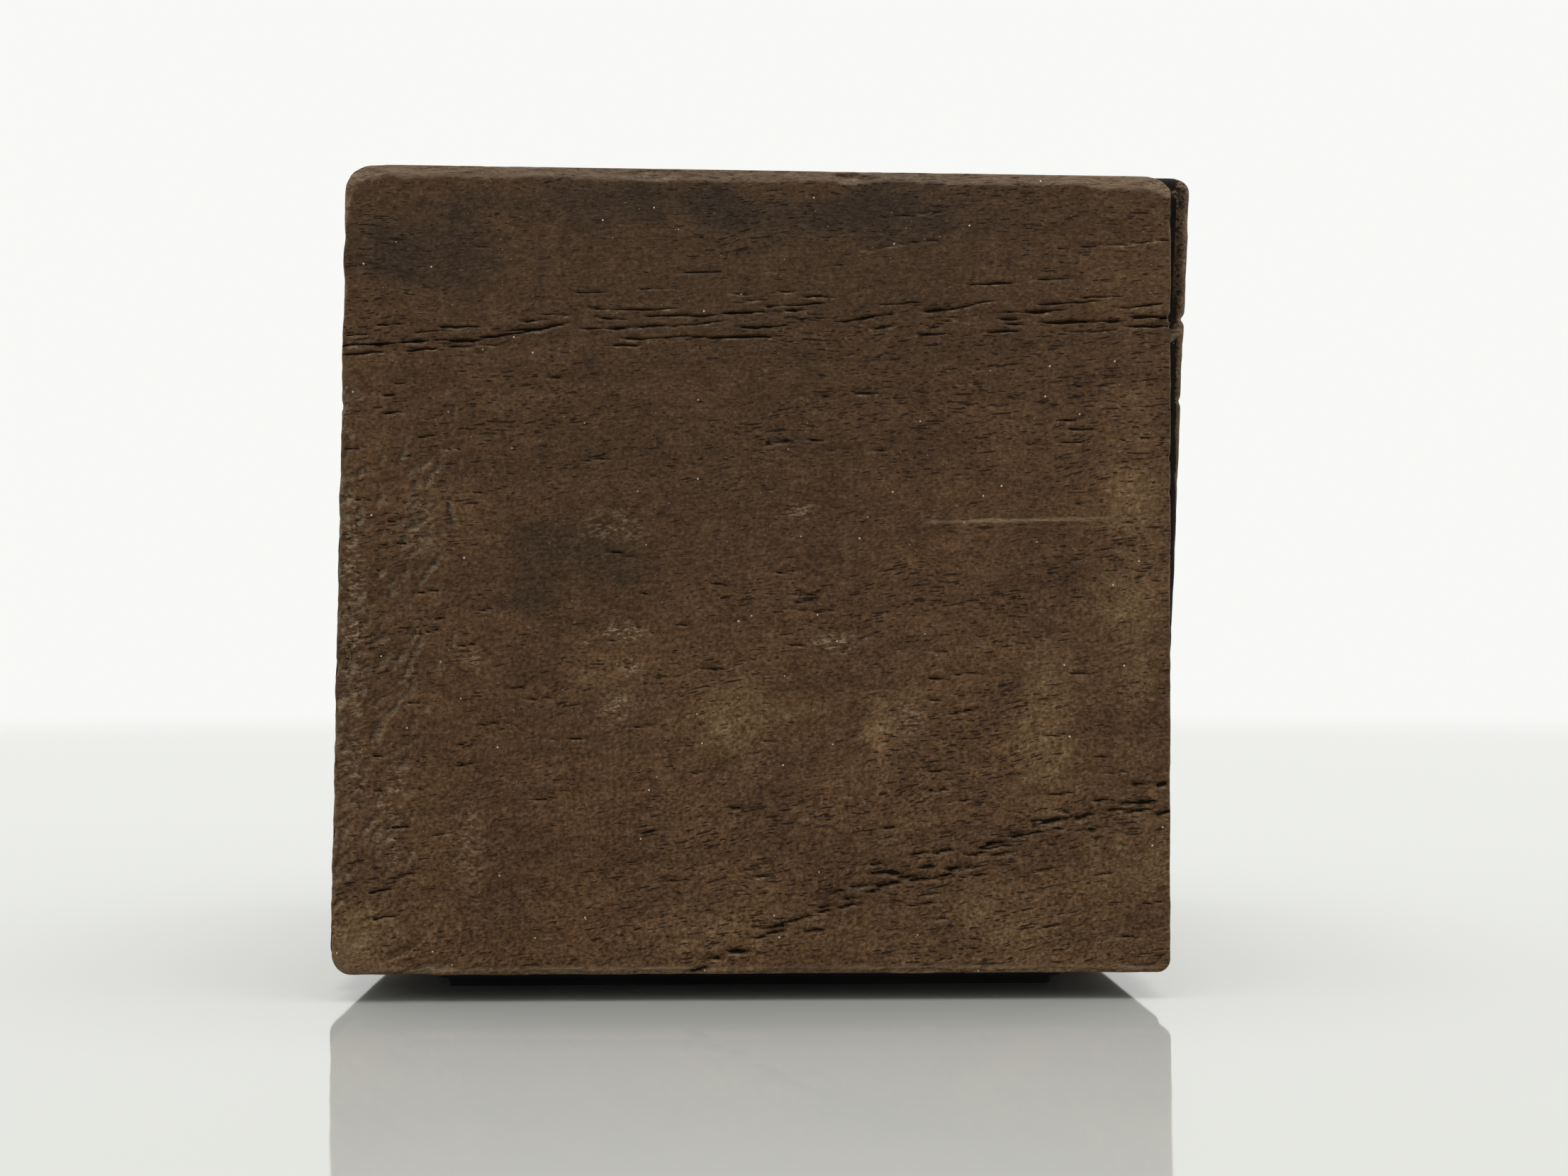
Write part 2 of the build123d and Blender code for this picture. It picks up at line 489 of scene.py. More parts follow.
# Rubber cement, brushed on and dried: a thin amber-brown skin that shows only at its edge
DRIED_CEMENT = PlainFinish("dried_rubber_cement", "3b2a18", "543c22", 0.45, 3.0, 0.6, 0.03)
# Animal glue, squeezed out and left: black-brown with dirt stuck in it, and dark enough to also give
# the seam its painted shade
GLUE_AND_SEAM_SHADE = PlainFinish("dried_glue_and_seam_shade", "0e0a07", "1a130d", 0.8, 1.0, 0.4, 0.08, specular=0.05)


# --------------------------------------------------------------------------------------
# Marks that use has left, in millimetres from the lower left corner of each board
# --------------------------------------------------------------------------------------


@dataclass(frozen=True)
class Crack:
    """An open vessel line or drying crack that runs roughly along the grain."""

    left: float                      # place of its left end
    height: float
    length: float
    rise: float                      # how far it climbs to its right end
    width: float
    depth: float


@dataclass(frozen=True)
class Stain:
    """A soft-edged patch, darker below 0 and faded above 0."""

    across: float
    up: float
    half_width: float
    half_height: float
    strength: float


@dataclass(frozen=True)
class Chip:
    """A splinter or gouge broken out of the face."""

    across: float
    up: float
    half_width: float
    half_height: float
    depth: float
    turn: float                      # degrees from level
    fresh: float                     # how pale the break is


FRONT_CRACKS = (
    # short splits beside the long crack line
    Crack(2.4, 46.2, 1.9, 0.1, 0.1, 0.2), Crack(0.3, 45.5, 1.7, 0.1, 0.12, 0.2),
    Crack(5.2, 45.7, 2.4, 0.2, 0.1, 0.2), Crack(11.2, 45.8, 2.5, 0.3, 0.11, 0.22),
    Crack(12.8, 46.6, 2.1, 0.2, 0.1, 0.2), Crack(14.4, 47.1, 2.0, 0.1, 0.1, 0.2),
    Crack(27.5, 48.1, 3.0, 0.2, 0.1, 0.2), Crack(30.2, 47.9, 4.6, 0.3, 0.11, 0.22),
    Crack(33.1, 48.6, 2.2, 0.1, 0.1, 0.2), Crack(38.6, 48.1, 3.1, 0.2, 0.1, 0.2),
    Crack(46.1, 46.2, 2.7, 0.1, 0.12, 0.25), Crack(52.5, 46.3, 3.2, 0.2, 0.1, 0.2),
    Crack(56.6, 46.7, 3.2, 0.1, 0.12, 0.25), Crack(19.5, 44.9, 1.9, 0.1, 0.1, 0.2),
    Crack(28.4, 46.3, 3.6, 0.2, 0.12, 0.22), Crack(32.6, 46.9, 2.4, 0.2, 0.12, 0.22),
    # the long crack line, from the left edge to the chip in the right edge, then open vessels
    Crack(0.0, 44.7, 4.0, 0.3, 0.17, 0.33), Crack(3.6, 45.0, 6.6, 0.3, 0.14, 0.33),
    Crack(9.8, 45.3, 6.4, 1.2, 0.16, 0.33), Crack(0.0, 44.2, 3.2, 0.1, 0.12, 0.2),
    Crack(4.4, 44.4, 2.6, 0.2, 0.12, 0.2), Crack(7.5, 44.6, 4.2, 0.4, 0.12, 0.2),
    Crack(6.9, 46.2, 3.0, 0.0, 0.12, 0.2), Crack(16.9, 46.1, 3.8, 0.2, 0.14, 0.29),
    Crack(20.6, 46.2, 2.8, 0.2, 0.12, 0.2), Crack(23.3, 46.3, 4.0, 0.5, 0.13, 0.2),
    Crack(20.0, 45.4, 5.2, 0.3, 0.13, 0.2), Crack(24.8, 45.7, 6.3, 0.0, 0.14, 0.29),
    Crack(17.6, 47.5, 6.8, 0.2, 0.12, 0.2), Crack(17.9, 47.0, 2.7, -0.1, 0.12, 0.2),
    Crack(21.5, 47.0, 6.0, 0.3, 0.12, 0.2), Crack(26.8, 47.3, 6.9, 0.4, 0.14, 0.26),
    Crack(35.5, 46.8, 4.1, 0.7, 0.14, 0.29), Crack(41.7, 47.7, 1.8, 0.1, 0.17, 0.29),
    Crack(43.2, 47.8, 4.0, 0.8, 0.12, 0.2), Crack(41.3, 46.0, 2.3, 0.1, 0.14, 0.2),
    Crack(38.1, 46.4, 1.6, 0.2, 0.12, 0.2), Crack(42.3, 46.4, 1.8, 1.0, 0.17, 0.29),
    Crack(47.4, 47.6, 4.7, 0.3, 0.16, 0.29), Crack(47.4, 47.2, 1.2, 0.0, 0.14, 0.2),
    Crack(47.6, 46.8, 1.4, 0.0, 0.13, 0.2), Crack(50.3, 47.0, 6.0, 0.2, 0.17, 0.33),
    Crack(56.1, 48.1, 3.2, 0.3, 0.14, 0.2), Crack(56.8, 47.4, 3.0, 0.2, 0.16, 0.33),
    Crack(53.1, 48.8, 3.1, 0.2, 0.12, 0.2), Crack(50.1, 48.3, 4.3, 0.3, 0.12, 0.2),
    Crack(51.4, 52.4, 8.6, 0.7, 0.09, 0.16), Crack(37.1, 52.1, 5.8, 0.8, 0.1, 0.16),
    Crack(38.9, 54.5, 4.0, 0.4, 0.09, 0.13), Crack(34.0, 50.8, 2.3, 0.3, 0.09, 0.13),
    Crack(44.9, 49.6, 3.6, 0.3, 0.12, 0.2), Crack(49.2, 50.1, 2.9, 0.1, 0.1, 0.16),
    Crack(31.4, 49.0, 1.5, 0.0, 0.09, 0.13), Crack(9.0, 51.9, 2.0, 0.3, 0.1, 0.16),
    Crack(15.8, 48.7, 3.4, 0.2, 0.09, 0.13), Crack(21.1, 49.0, 2.4, 0.2, 0.09, 0.13),
    Crack(23.9, 50.2, 3.2, 0.2, 0.09, 0.13), Crack(27.6, 48.7, 1.5, 0.0, 0.1, 0.13),
    Crack(45.5, 37.8, 8.8, 0.6, 0.07, 0.1), Crack(56.1, 38.5, 3.8, 0.1, 0.08, 0.13),
    Crack(0.6, 37.3, 2.6, 0.1, 0.09, 0.13), Crack(0.5, 33.6, 1.9, 0.1, 0.09, 0.13),
    Crack(39.5, 5.0, 4.0, 0.9, 0.09, 0.16), Crack(54.0, 6.9, 1.6, 0.2, 0.11, 0.16),
    Crack(55.9, 2.5, 1.4, 0.1, 0.11, 0.16), Crack(57.7, 4.9, 1.8, 0.2, 0.1, 0.16),
)

FRONT_CHIPS = (
    Chip(5.0, 1.7, 1.5, 0.24, 0.22, 27, 0.0), Chip(7.2, 0.5, 1.7, 0.5, 0.3, 8, 0.9),
    Chip(10.5, 0.35, 1.4, 0.3, 0.2, 3, 0.6), Chip(2.2, 2.6, 1.0, 0.5, 0.1, 40, 0.5),
    Chip(16.0, 0.2, 2.6, 0.18, 0.14, 0, 0.6), Chip(24.0, 0.2, 3.4, 0.16, 0.12, 0, 0.5),
    Chip(33.0, 0.2, 3.0, 0.2, 0.14, 0, 0.4), Chip(42.0, 0.2, 4.0, 0.16, 0.12, 0, 0.5),
    Chip(52.0, 0.2, 4.0, 0.18, 0.12, 0, 0.5), Chip(59.4, 47.3, 0.9, 0.35, 0.7, 35, 0.0),
    Chip(59.6, 46.9, 0.5, 0.2, 0.5, -25, 0.4), Chip(59.8, 37.2, 0.3, 0.25, 0.3, 0, 0.0),
    Chip(59.8, 34.7, 0.25, 0.3, 0.3, 0, 0.0), Chip(59.8, 30.3, 0.3, 0.25, 0.3, 0, 0.0),
    Chip(59.8, 25.2, 0.25, 0.3, 0.3, 0, 0.0), Chip(0.2, 21.9, 0.6, 0.4, 0.35, 60, 0.6),
    Chip(0.1, 10.0, 0.5, 0.35, 0.3, 70, 0.5), Chip(0.3, 40.4, 0.4, 0.3, 0.25, 60, 0.4),
    Chip(22.0, 57.4, 2.2, 0.5, 0.15, 2, 0.3), Chip(36.5, 57.2, 1.5, 0.45, 0.18, -3, 0.4),
    Chip(9.9, 44.4, 0.35, 0.22, 0.2, 20, 0.0), Chip(55.5, 2.6, 0.55, 0.3, 0.08, 0, 0.3),
    Chip(0.9, 22.6, 1.1, 0.2, 0.25, 84, 0.0), Chip(0.6, 19.4, 1.0, 0.5, 0.12, 55, 0.9),
    Chip(1.1, 17.6, 0.9, 0.25, 0.2, 70, 0.0), Chip(5.9, 30.6, 0.8, 0.3, 0.15, 60, 0.7),
)

FRONT_STAINS = (
    # faded: the right margin, three rubbed spots, the lower corners and some of the left margin
    Stain(57.6, 32.0, 3.0, 12.0, 0.45), Stain(56.5, 42.0, 4.5, 12.0, 0.3),
    Stain(50.6, 17.4, 2.6, 4.8, 0.38), Stain(38.9, 16.2, 1.1, 2.6, 0.75),
    Stain(28.6, 18.6, 3.4, 3.6, 0.36), Stain(20.0, 20.5, 5.0, 4.0, 0.3),
    Stain(2.0, 2.4, 2.8, 3.2, 0.4), Stain(4.5, 38.5, 3.6, 4.5, 0.15),
    Stain(53.0, 23.0, 8.0, 5.5, 0.2), Stain(57.5, 9.0, 5.0, 4.4, 0.2),
    Stain(25.0, 3.0, 3.6, 2.4, 0.35), Stain(48.5, 3.5, 3.6, 3.2, 0.25),
    Stain(58.0, 50.0, 3.6, 5.4, 0.25), Stain(43.0, 20.0, 10.0, 9.0, 0.12),
    # dark: ink and hand grease in the upper left, along the top and over the middle
    Stain(6.0, 51.0, 5.5, 3.2, -0.42), Stain(16.0, 28.0, 7.0, 4.0, -0.42),
    Stain(20.0, 55.2, 11.0, 1.7, -0.45), Stain(38.0, 54.5, 7.5, 2.2, -0.45),
    Stain(17.9, 44.0, 1.1, 1.4, -0.6), Stain(17.0, 5.5, 9.0, 4.0, -0.2),
    Stain(24.0, 34.0, 17.0, 10.0, -0.3), Stain(30.0, 50.0, 24.0, 8.0, -0.18),
    Stain(12.0, 17.0, 5.0, 8.0, -0.12), Stain(33.5, 0.9, 6.0, 1.0, -0.4),
    Stain(2.0, 18.5, 1.6, 9.0, -0.2), Stain(12.0, 1.2, 5.0, 1.3, -0.35),
)

FRONT_SCUFFS = (
    Stain(20.3, 24.4, 1.6, 0.7, 0.8), Stain(20.2, 18.9, 1.0, 1.0, 0.9),
    Stain(9.7, 22.3, 0.9, 0.8, 0.7), Stain(35.4, 23.6, 2.4, 0.7, 0.6),
    Stain(21.2, 21.8, 1.0, 0.8, 0.8), Stain(27.6, 17.6, 0.5, 0.5, 0.7),
    Stain(41.0, 18.5, 1.0, 2.0, 0.45), Stain(33.0, 33.0, 1.0, 0.7, 0.5),
    Stain(20.0, 32.0, 2.4, 1.2, 0.35), Stain(9.8, 9.0, 0.8, 3.4, 0.4),
    Stain(4.4, 12.0, 0.6, 4.5, 0.55), Stain(1.6, 19.0, 1.0, 8.0, 0.45),
    Stain(1.0, 29.0, 0.8, 8.0, 0.5), Stain(6.0, 33.0, 1.6, 4.0, 0.3),
)

# Height and depth of each notch in the left side of the front board
LEFT_NOTCHES = ((21.9, 0.12), (10.0, 0.1), (40.4, 0.09), (30.6, 0.06), (15.3, 0.08))

# Height, half height and depth of each chip in the front right edge of the back block
BLOCK_CHIPS = ((48.3, 0.3, 0.26), (42.1, 0.25, 0.14), (51.6, 0.3, 0.05), (36.0, 0.4, 0.08),
               (44.6, 2.2, 0.08))
BLOCK_SPLINTER = 47.3            # height of the pale splinter in that edge


# --------------------------------------------------------------------------------------
# Wooden boards
# --------------------------------------------------------------------------------------


@dataclass
class Board:
    """A board cut as one dense closed shell, whose edges and faces are then worn."""

    node: str
    slot: str
    finish: AgedHardwood
    cuts: tuple[int, int, int]                 # columns, layers and rows of the shell
    lean: tuple[float, float]                  # mm by which the tops of both sides lean to +X
    top_fall: float                            # drop of the top from left to right, mm
    corner_radii: tuple[float, float, float, float]  # bottom left, bottom right, top right, top left
    noise: LatticeNoise = field(default_factory=lambda: LatticeNoise(7))

    def measure(self) -> tuple[Vector, float, float, float]:
        """Read the board's place from the frame.

        Returns:
            Its lower left front corner, and its width at the foot, depth and height, all in mm.
        """
        low, high = (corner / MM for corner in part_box(self.node))
        return low, high.x - low.x - self.lean[1], high.y - low.y, high.z - low.z

    def shell(self, hidden_side: float) -> tuple[bmesh.types.BMesh, np.ndarray]:
        """Cut the dense box.

        Args:
            hidden_side: -1 or 1, the side along Y that the other board covers and that
                needs no cuts of its own.

        Returns:
            A closed box, and for each of its points the number of its column, layer and row.
        """
        bm = bmesh.new()
        bmesh.ops.create_cube(bm, size=1.0)
        bmesh.ops.translate(bm, verts=bm.verts, vec=(0.5, 0.5, 0.5))
        covered = [f for f in bm.faces if f.normal.y * hidden_side > 0.5]
        bmesh.ops.delete(bm, geom=covered, context="FACES_ONLY")
        for axis in range(3):
            along = [e for e in bm.edges
                     if abs(e.verts[0].co[axis] - e.verts[1].co[axis]) > 0.5]
            bmesh.ops.subdivide_edges(bm, edges=along, cuts=self.cuts[axis] - 1)
        rim = [e for e in bm.edges if e.is_boundary]
        bmesh.ops.holes_fill(bm, edges=rim, sides=0)
        bmesh.ops.recalc_face_normals(bm, faces=bm.faces)
        places = np.array([v.co for v in bm.verts])
        return bm, np.rint(places * self.cuts).astype(int)

    def corners(self, u: np.ndarray, v: np.ndarray, width: float, height: float
                ) -> Iterator[tuple[float, int, int, np.ndarray, np.ndarray, np.ndarray]]:
        """Visit the four rounded corners.

        Args:
            u: distance from the left side at the board's foot, mm.
            v: distance from the foot, mm.
            width: width at the foot, mm.
            height: height at the left side, mm.

        Yields:
            The radius, the signs of the way inwards along X and Z, how far each point stands
            out past the rounding's centre along both, and whether it belongs to the corner.
        """
        for (side, end), radius in zip(((1, 1), (-1, 1), (-1, -1), (1, -1)), self.corner_radii):
            a = radius - (u if side > 0 else width - u)
            b = radius - (v if end > 0 else height - v)
            yield radius, side, end, a, b, (a > 0) & (b > 0)

    def inward(self, u: np.ndarray, v: np.ndarray, width: float, height: float
               ) -> tuple[np.ndarray, np.ndarray]:
        """Find the way inwards from the nearest edge, which is radial in a rounded corner.

        Args:
            u: distance from the left side at the board's foot, mm.
            v: distance from the foot, mm.
            width: width at the foot, mm.
            height: height at the left side, mm.

        Returns:
            The way's parts along X and along Z.
        """
        nearest = np.argmin((u, width - u, v, height - v), axis=0)
        across = np.choose(nearest, (1.0, -1.0, 0.0, 0.0))
        up = np.choose(nearest, (0.0, 0.0, 1.0, -1.0))
        for _, side, end, a, b, inside in self.corners(u, v, width, height):
            length = np.maximum(np.hypot(a, b), 1e-9)
            across = np.where(inside, side * a / length, across)
            up = np.where(inside, end * b / length, up)
        return across, up

    def outline(self, u: np.ndarray, v: np.ndarray, width: float, height: float
                ) -> tuple[np.ndarray, np.ndarray]:
        """Round the four corners and lean the sides.

        Args:
            u: distance from the left side at the board's foot, mm.
            v: distance from the foot, mm.
            width: width at the foot, mm.
            height: height at the left side, mm.

        Returns:
            The new distances.
        """
        for radius, side, end, a, b, inside in self.corners(u, v, width, height):
            scale = np.maximum(a, b) / np.maximum(np.hypot(a, b), 1e-9)
            new_u, new_v = radius - a * scale, radius - b * scale
            u = np.where(inside, new_u if side > 0 else width - new_u, u)
            v = np.where(inside, new_v if end > 0 else height - new_v, v)
        across, up = u / width, v / height
        leaned = u + up * (self.lean[0] * (1 - across) + self.lean[1] * across)
        return leaned, v - self.top_fall * across * up

    def edge_distances(self, u: np.ndarray, v: np.ndarray, width: float, height: float
                       ) -> np.ndarray:
        """Measure how far each point is from the rounded outline, before the sides lean.

        Args:
            u: distance from the left side at the board's foot, mm.
            v: distance from the foot, mm.
            width: width at the foot, mm.
            height: height at the left side, mm.

        Returns:
            The distances, mm.
        """
        distance = np.minimum(np.minimum(u, width - u), np.minimum(v, height - v))
        for radius, _, _, a, b, inside in self.corners(u, v, width, height):
            distance = np.where(inside, radius - np.maximum(a, b), distance)
        return distance

    def finish_object(self, bm: bmesh.types.BMesh, places: np.ndarray,
                      traces: dict[Trace, np.ndarray]) -> bpy.types.Object:
        """Turn the shell into the finished piece.

        Args:
            bm: the shell.
            places: where each of its points goes, in metres.
            traces: what use has left, with painted highlight and shade, one number per point and
                trace.

        Returns:
            The object, riding on the stamp and standing for its CAD node.
        """
        mesh = bpy.data.meshes.new(self.node + "_worn")
        bm.to_mesh(mesh)
        bm.free()
        mesh.vertices.foreach_set("co", places.astype(np.float32).ravel())
        mesh.update()
        for trace, amount in traces.items():
            layer = mesh.attributes.new(trace.value, "FLOAT", "POINT")
            layer.data.foreach_set("value", amount.astype(np.float32))
        mesh.shade_smooth()
        mesh.materials.append(self.finish.build())
        piece = add_object(self.node + "_worn", mesh)
        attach(piece, BODY)
        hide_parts(self.node)
        log.info("%s: %d faces", piece.name, len(mesh.polygons))
        return piece


def patch_field(patches: tuple[Stain, ...], u: np.ndarray, v: np.ndarray,
                noise: LatticeNoise) -> np.ndarray:
    """Add up soft patches with ragged borders.

    Args:
        patches: the patches.
        u: distances from the left side, mm.
        v: distances from the foot, mm.
        noise: makes the borders ragged.

    Returns:
        The summed strength at each point.
    """
    ragged = 0.35 * noise.rough(u / 3.0, v / 2.2)
    total = np.zeros_like(u)
    for patch in patches:
        reach = np.hypot((u - patch.across) / patch.half_width, (v - patch.up) / patch.half_height)
        total += patch.strength * smooth(1.35, 0.25, reach + ragged)
    return total


@dataclass
class FrontBoard(Board):
    """The board that faces the front: cracked along a vessel line and worn at its edges."""

    bevel_width: float = 0.95        # worn flat along the top edge
    bevel_depth: float = 0.42
    arris: float = 0.34              # rounding of the other edges
    corner_wear: float = 2.2         # reach of the extra wear at the lower left corner
    worn_layer: float = 1.3          # the sides keep their shape behind this depth
    crack_height: float = 46.4       # middle of the long crack line
    crack_rise: float = 3.4          # how far it climbs across the board
    scratch_height: float = 32.4     # the one long scratch, near the right side
    scratch_depth: float = 0.05
    edge_dents: int = 190            # dents along the left edge
    margin_dents: int = 140          # and further in, in a band that climbs to the right

    def build(self) -> bpy.types.Object:
        """Model the front board.

        Returns:
            The finished piece.
        """
        low, width, depth, height = self.measure()
        bm, numbers = self.shell(hidden_side=1)
        u, v = self.lay_cuts(numbers, width, height)
        face = numbers[:, 1] == 0
        behind = numbers[:, 1] / self.cuts[1]
        rim = self.edge_distances(u, v, width, height)

        # Worn edges: a flat along the top, a small round on the others
        bevel, bevel_share = self.top_bevel(u, height - v, rim, width)
        corner = np.exp(-(u ** 2 + v ** 2) / self.corner_wear ** 2)
        reach = self.arris + 0.18 * smooth(14, 0, u) - 0.12 * smooth(width - 8, width, u)
        reach = reach * (1 + 0.45 * self.noise.rough(u / 1.7 + 40, v / 1.7)) + 0.8 * corner
        edge = np.clip(1 - rim / reach, 0, 1)
        round_off = reach * (1 - np.sqrt(np.maximum(1 - edge ** 2, 0))) * (1 - 0.3 * corner)

        # Marks in the face
        dents, dent_highlight, dent_shade = self.dents(u, v)
        cut, dark, pale = self.cracks(u, v)
        chips, chip_wear = self.chips(u, v)
        groove = self.scratch(u, v)
        set_back = np.maximum(round_off, bevel) + dents + chips
        set_back = set_back + cut * smooth(0, 0.1, rim) + self.scratch_depth * groove
        y = np.where(face, np.minimum(set_back, self.worn_layer),
                     self.worn_layer + behind * (depth - self.worn_layer))
        new_u, new_v = self.worn_sides(u, v, rim, behind, width, height)
        places = np.column_stack((low.x + new_u, low.y + y, low.z + new_v)) * MM

        # Stained and faded in patches, a little paler towards the foot, and painted shade on the
        # near wall of each dent
        tone = patch_field(FRONT_STAINS, u, v, self.noise) + 0.8 * (0.45 - v / height)
        tone = tone - 1.1 * dent_shade + groove
        scuff_and_highlight = np.clip(patch_field(FRONT_SCUFFS, u, v, self.noise), 0, 1)
        # Painted highlight on the far wall of each dent, in the scuff trace
        scuff_and_highlight = face * np.maximum.reduce(
            [scuff_and_highlight, 0.5 * dent_highlight, 0.45 * pale, 0.8 * chip_wear, 0.6 * groove])
        both_ends = np.exp(-u / 5.0) + 0.8 * np.exp(-(width - u) / 9.0)
        wear_and_highlight = np.maximum(bevel_share * (0.34 + 0.6 * both_ends),
                          smooth(0.1, 0.8, edge) * (0.34 + 0.3 * self.noise.rough(u / 4, v / 4)))
        foot_line = np.exp(-((v - 0.45) / 0.16) ** 2) * (0.7 + 0.4 * self.noise(u / 1.9, u * 0))
        # Painted highlight on the far wall of each dent goes into the wear trace too
        wear_and_highlight = np.maximum.reduce([wear_and_highlight, 0.75 * chip_wear, 0.8 * corner, 0.8 * dent_highlight,
                                  1.2 * groove, foot_line, 0.22 * pale])
        wear_and_highlight = np.where(face, wear_and_highlight, 0.2)
        return self.finish_object(bm, places, {
            Trace.WEAR_AND_HIGHLIGHT: np.clip(wear_and_highlight, 0, 1), Trace.DIRT_AND_SHADE: face * dark,
            Trace.TONE: np.clip(tone, -1, 1), Trace.SCUFF_AND_HIGHLIGHT: scuff_and_highlight})

    def lay_cuts(self, numbers: np.ndarray, width: float, height: float
                 ) -> tuple[np.ndarray, np.ndarray]:
        """Place the columns and rows, crowded at the edges, the left margin and the crack line.

        Args:
            numbers: column, layer and row of each point.
            width: width at the foot, mm.
            height: height at the left side, mm.

        Returns:
            Each point's distance from the left side and from the foot, mm.
        """
        columns = stations(self.cuts[0], width, (
            (0, 0.9, 1.5), (4.3, 4.6, 1.7), (width, 0.9, 3.0)))
        rows = stations(self.cuts[2], height, (
            (0, 0.9, 1.0), (7, 7, 0.25), (self.crack_height, 2.6, 1.5), (height, 1.2, 1.2)))
        u, v = columns[numbers[:, 0]], rows[numbers[:, 2]]
        # Rows climb with the grain around the long crack line
        window = smooth(11, 0, np.abs(v - self.crack_height))
        return u, v + self.crack_rise * (u / width - 0.5) * window

    def worn_sides(self, u: np.ndarray, v: np.ndarray, rim: np.ndarray, behind: np.ndarray,
                   width: float, height: float) -> tuple[np.ndarray, np.ndarray]:
        """Hollow the sides, notch the left one and wear the top right corner down.

        Args:
            u: distances from the left side, mm.
            v: distances from the foot, mm.
            rim: distances to the nearest edge, mm.
            behind: share of the board's thickness in front of each point.
            width: width at the foot, mm.
            height: height at the left side, mm.

        Returns:
            The new distances from the left side and from the foot.
        """
        from_top = height - v
        hollow = 0.045 * np.abs(self.noise.rough(u / 3 + 9, behind * 3, v / 2.2))
        for up, deep in LEFT_NOTCHES:
            hollow = hollow + deep * np.exp(-((v - up) / 0.35) ** 2) * (u < 1)
        new_u, new_v = self.outline(u, v, width, height)
        left_or_right = (rim < 1e-6) & (v > 0.7) & (from_top > 0.7)
        new_u = new_u + hollow * np.sign(width / 2 - u) * left_or_right
        near_right = smooth(2.3, 0.0, width - u)
        return new_u, new_v - 0.55 * near_right ** 2 * smooth(6, 0, from_top)

    def scratch(self, u: np.ndarray, v: np.ndarray) -> np.ndarray:
        """Score the long scratch: 1 along its middle, 0 off it."""
        line = np.abs(v - self.scratch_height - 0.025 * (u - 42))
        return smooth(0.17, 0.03, line) * smooth(41.6, 42.6, u) * smooth(59, 47, u)

    def top_bevel(self, u: np.ndarray, from_top: np.ndarray, rim: np.ndarray, width: float
                  ) -> tuple[np.ndarray, np.ndarray]:
        """Wear the top edge flat, wider at the two corners.

        Args:
            u: distances from the left side, mm.
            from_top: distances down from the top, mm.
            rim: distances to the nearest edge, mm.
            width: width of the board, mm.

        Returns:
            The set-back in mm, and the share of the bevel from 0 at its foot to 1.
        """
        ragged = 1 + 0.14 * self.noise.rough(u / 2.2, u * 0) + 0.1 * self.noise(u / 0.5, u * 0)
        flat = self.bevel_width * ragged
        flat = flat * (1 + 0.55 * np.exp(-(u / 3) ** 2) + 0.35 * np.exp(-((width - u) / 4) ** 2))
        fade = 0.2 + 0.7 * smooth(width / 2, width, u)
        distance = np.minimum(from_top, rim + fade * from_top)
        share = np.clip(1 - distance / flat, 0, 1)
        return self.bevel_depth * share, smooth(0.0, 0.3, share)

    def cracks(self, u: np.ndarray, v: np.ndarray
               ) -> tuple[np.ndarray, np.ndarray, np.ndarray]:
        """Open the cracks and vessel lines.

        Args:
            u: distances from the left side, mm.
            v: distances from the foot, mm.

        Returns:
            The depth cut, in mm, how near each point is to the middle of a crack, and the
            pale fibres along its lower lip.
        """
        cut, dark, pale = (np.zeros_like(u) for _ in range(3))
        marks = FRONT_CRACKS + self.vessel_band() + self.loose_vessels()
        for number, crack in enumerate(marks):
            near = ((u > crack.left - 0.3) & (u < crack.left + crack.length + 0.3)
                    & (np.abs(v - crack.height - crack.rise / 2) < abs(crack.rise) / 2 + 0.8))
            near_u, near_v = u[near], v[near]
            share = np.clip((near_u - crack.left) / crack.length, 0, 1)
            wander = 0.07 * self.noise.rough(near_u / 2.0 + 31 * number, octaves=2)
            wander = wander + 0.04 * self.noise(near_u / 0.55 + 7 * number)
            middle = crack.height + crack.rise * share + wander
            start = 1 if crack.left < 0.2 else smooth(-0.02, 0.1, share)
            ends = start * smooth(1.02, 0.88, share)
            swell = 0.7 + 0.65 * self.noise.rough(near_u / 0.9 + 17 * number, octaves=2)
            swell = np.clip(swell, 0.12, 1.3)
            width = crack.width * ends * swell
            closeness = 1 - np.abs(near_v - middle) / np.maximum(1.25 * width, 0.02)
            cut[near] = np.maximum(cut[near], crack.depth * ends * smooth(0.0, 0.8, closeness))
            dark[near] = np.maximum(dark[near], np.clip(closeness, 0, 1))
            below = middle - near_v - 1.3 * crack.width
            lip = ends * np.exp(-(below / 0.1) ** 2) * smooth(-0.3, 0.7, self.noise(
                near_u / 0.9 + 13 * number))
            pale[near] = np.maximum(pale[near], lip)
        return cut, dark, pale

    def vessel_band(self) -> tuple[Crack, ...]:
        """Scatter the short open vessels of the growth ring that crosses the lower right corner.

        Returns:
            The vessels, from the foot of the board to its right side.
        """
        rng = np.random.default_rng(23)
        vessels = []
        for share in np.linspace(0, 1, 56):
            across = 26.3 + 33.6 * share
            middle = 0.4 + 12.9 * share ** 0.78
            length = rng.uniform(0.6, 1.9)
            rise = length * rng.uniform(0.1, 0.26)
            drop = rng.normal(-0.1, 0.26 + 0.4 * share)
            vessels.append(Crack(across + rng.uniform(-1.0, 0.1), middle + drop, length, rise,
                                 rng.uniform(0.14, 0.22), rng.uniform(0.25, 0.4)))
        return tuple(vessels)

